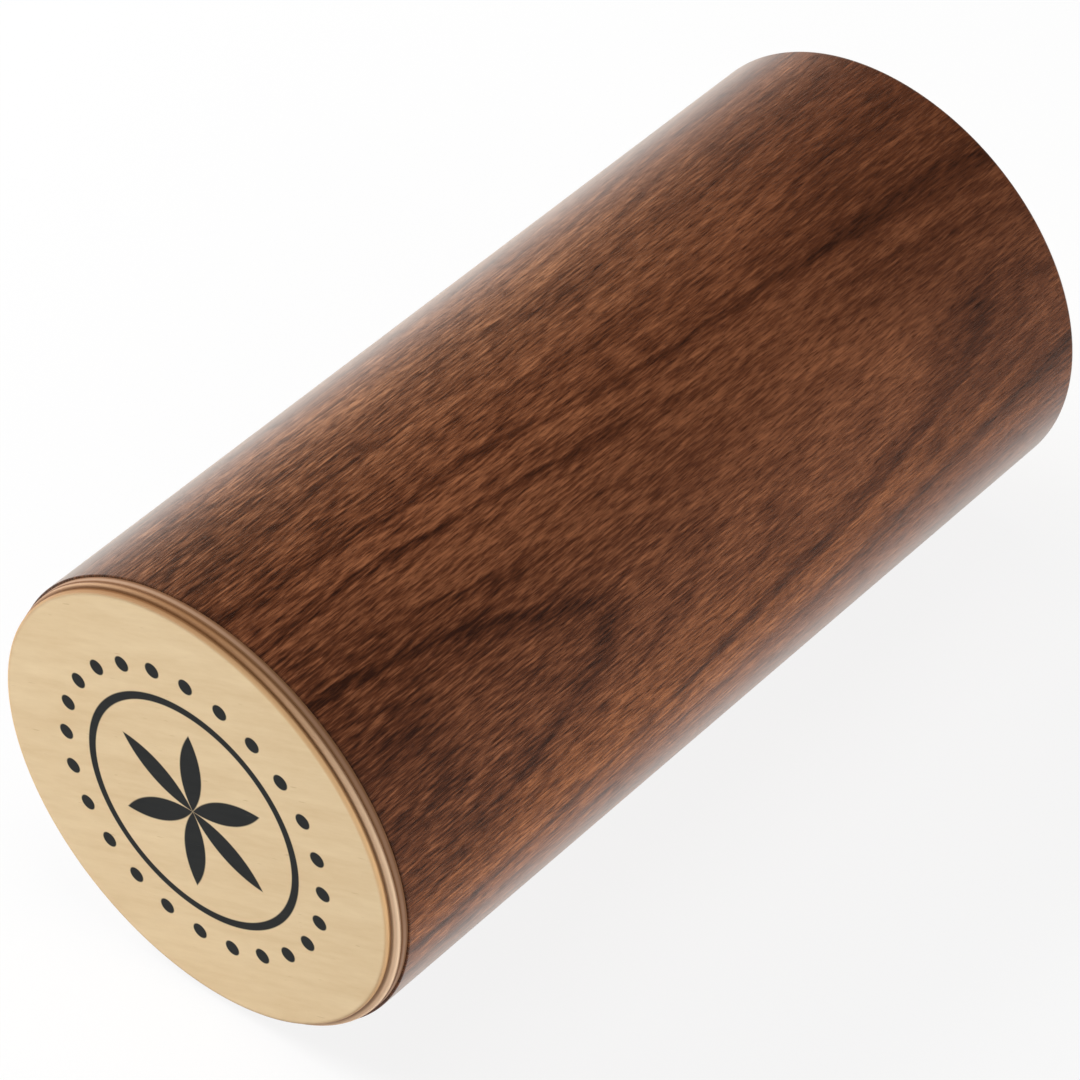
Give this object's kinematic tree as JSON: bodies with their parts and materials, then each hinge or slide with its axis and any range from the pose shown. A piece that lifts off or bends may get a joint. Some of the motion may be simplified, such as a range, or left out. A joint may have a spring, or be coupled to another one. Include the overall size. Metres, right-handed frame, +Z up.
{
  "type": "tube shaker",
  "caption": "Hand-held tube shaker: walnut-veneered bent-ply tube, birch plywood caps and loose steel shot that runs and swings inside to make the sound.",
  "frame": {"origin": "on the table the shaker lies on, below the middle of the tube", "axes": "+Y along the tube towards the rear cap, -Y out of the front cap's face, +Z up"},
  "size_m": [0.06, 0.125, 0.06],
  "materials": {
    "walnut": "satin lacquer",
    "birch": "sanded, clear satin",
    "birch_crossed": "sanded end grain",
    "steel_shot": "bright"
  },
  "bodies": {
    "shell": {"walnut_outer_ply": "walnut", "tube_core_ply": "birch_crossed", "tube_inner_ply": "birch", "front_cap_face_ply": "birch", "front_cap_core_ply": "birch_crossed", "front_cap_back_ply": "birch", "rear_cap_inner_ply": "birch", "rear_cap_core_ply": "birch_crossed", "rear_cap_outer_ply": "birch"},
    "lead_shot": {"shot_group_06": "steel_shot"},
    "shot_01": {"shot_group_01": "steel_shot"},
    "shot_02": {"shot_group_02": "steel_shot"},
    "shot_03": {"shot_group_03": "steel_shot"},
    "shot_04": {"shot_group_04": "steel_shot"},
    "shot_05": {"shot_group_05": "steel_shot"},
    "shot_07": {"shot_group_07": "steel_shot"},
    "shot_08": {"shot_group_08": "steel_shot"},
    "shot_09": {"shot_group_09": "steel_shot"},
    "shot_10": {"shot_group_10": "steel_shot"},
    "shot_11": {"shot_group_11": "steel_shot"},
    "shot_12": {"shot_group_12": "steel_shot"}
  },
  "joints": [
    {"name": "shot_run", "type": "slide", "parent": "shell", "child": "lead_shot", "axis": [0, 1, 0], "range_m": [-0.0327, 0.0327]},
    {"name": "shot_swing_01", "type": "hinge", "parent": "lead_shot", "child": "shot_01", "pos_m": [0, 0, 0.03], "axis": [0, 1, 0], "continuous": true},
    {"name": "shot_swing_02", "type": "hinge", "parent": "lead_shot", "child": "shot_02", "pos_m": [0, 0, 0.03], "axis": [0, 1, 0], "continuous": true},
    {"name": "shot_swing_03", "type": "hinge", "parent": "lead_shot", "child": "shot_03", "pos_m": [0, 0, 0.03], "axis": [0, 1, 0], "continuous": true},
    {"name": "shot_swing_04", "type": "hinge", "parent": "lead_shot", "child": "shot_04", "pos_m": [0, 0, 0.03], "axis": [0, 1, 0], "continuous": true},
    {"name": "shot_swing_05", "type": "hinge", "parent": "lead_shot", "child": "shot_05", "pos_m": [0, 0, 0.03], "axis": [0, 1, 0], "continuous": true},
    {"name": "shot_swing_07", "type": "hinge", "parent": "lead_shot", "child": "shot_07", "pos_m": [0, 0, 0.03], "axis": [0, 1, 0], "continuous": true},
    {"name": "shot_swing_08", "type": "hinge", "parent": "lead_shot", "child": "shot_08", "pos_m": [0, 0, 0.03], "axis": [0, 1, 0], "continuous": true},
    {"name": "shot_swing_09", "type": "hinge", "parent": "lead_shot", "child": "shot_09", "pos_m": [0, 0, 0.03], "axis": [0, 1, 0], "continuous": true},
    {"name": "shot_swing_10", "type": "hinge", "parent": "lead_shot", "child": "shot_10", "pos_m": [0, 0, 0.03], "axis": [0, 1, 0], "continuous": true},
    {"name": "shot_swing_11", "type": "hinge", "parent": "lead_shot", "child": "shot_11", "pos_m": [0, 0, 0.03], "axis": [0, 1, 0], "continuous": true},
    {"name": "shot_swing_12", "type": "hinge", "parent": "lead_shot", "child": "shot_12", "pos_m": [0, 0, 0.03], "axis": [0, 1, 0], "continuous": true}
  ]
}
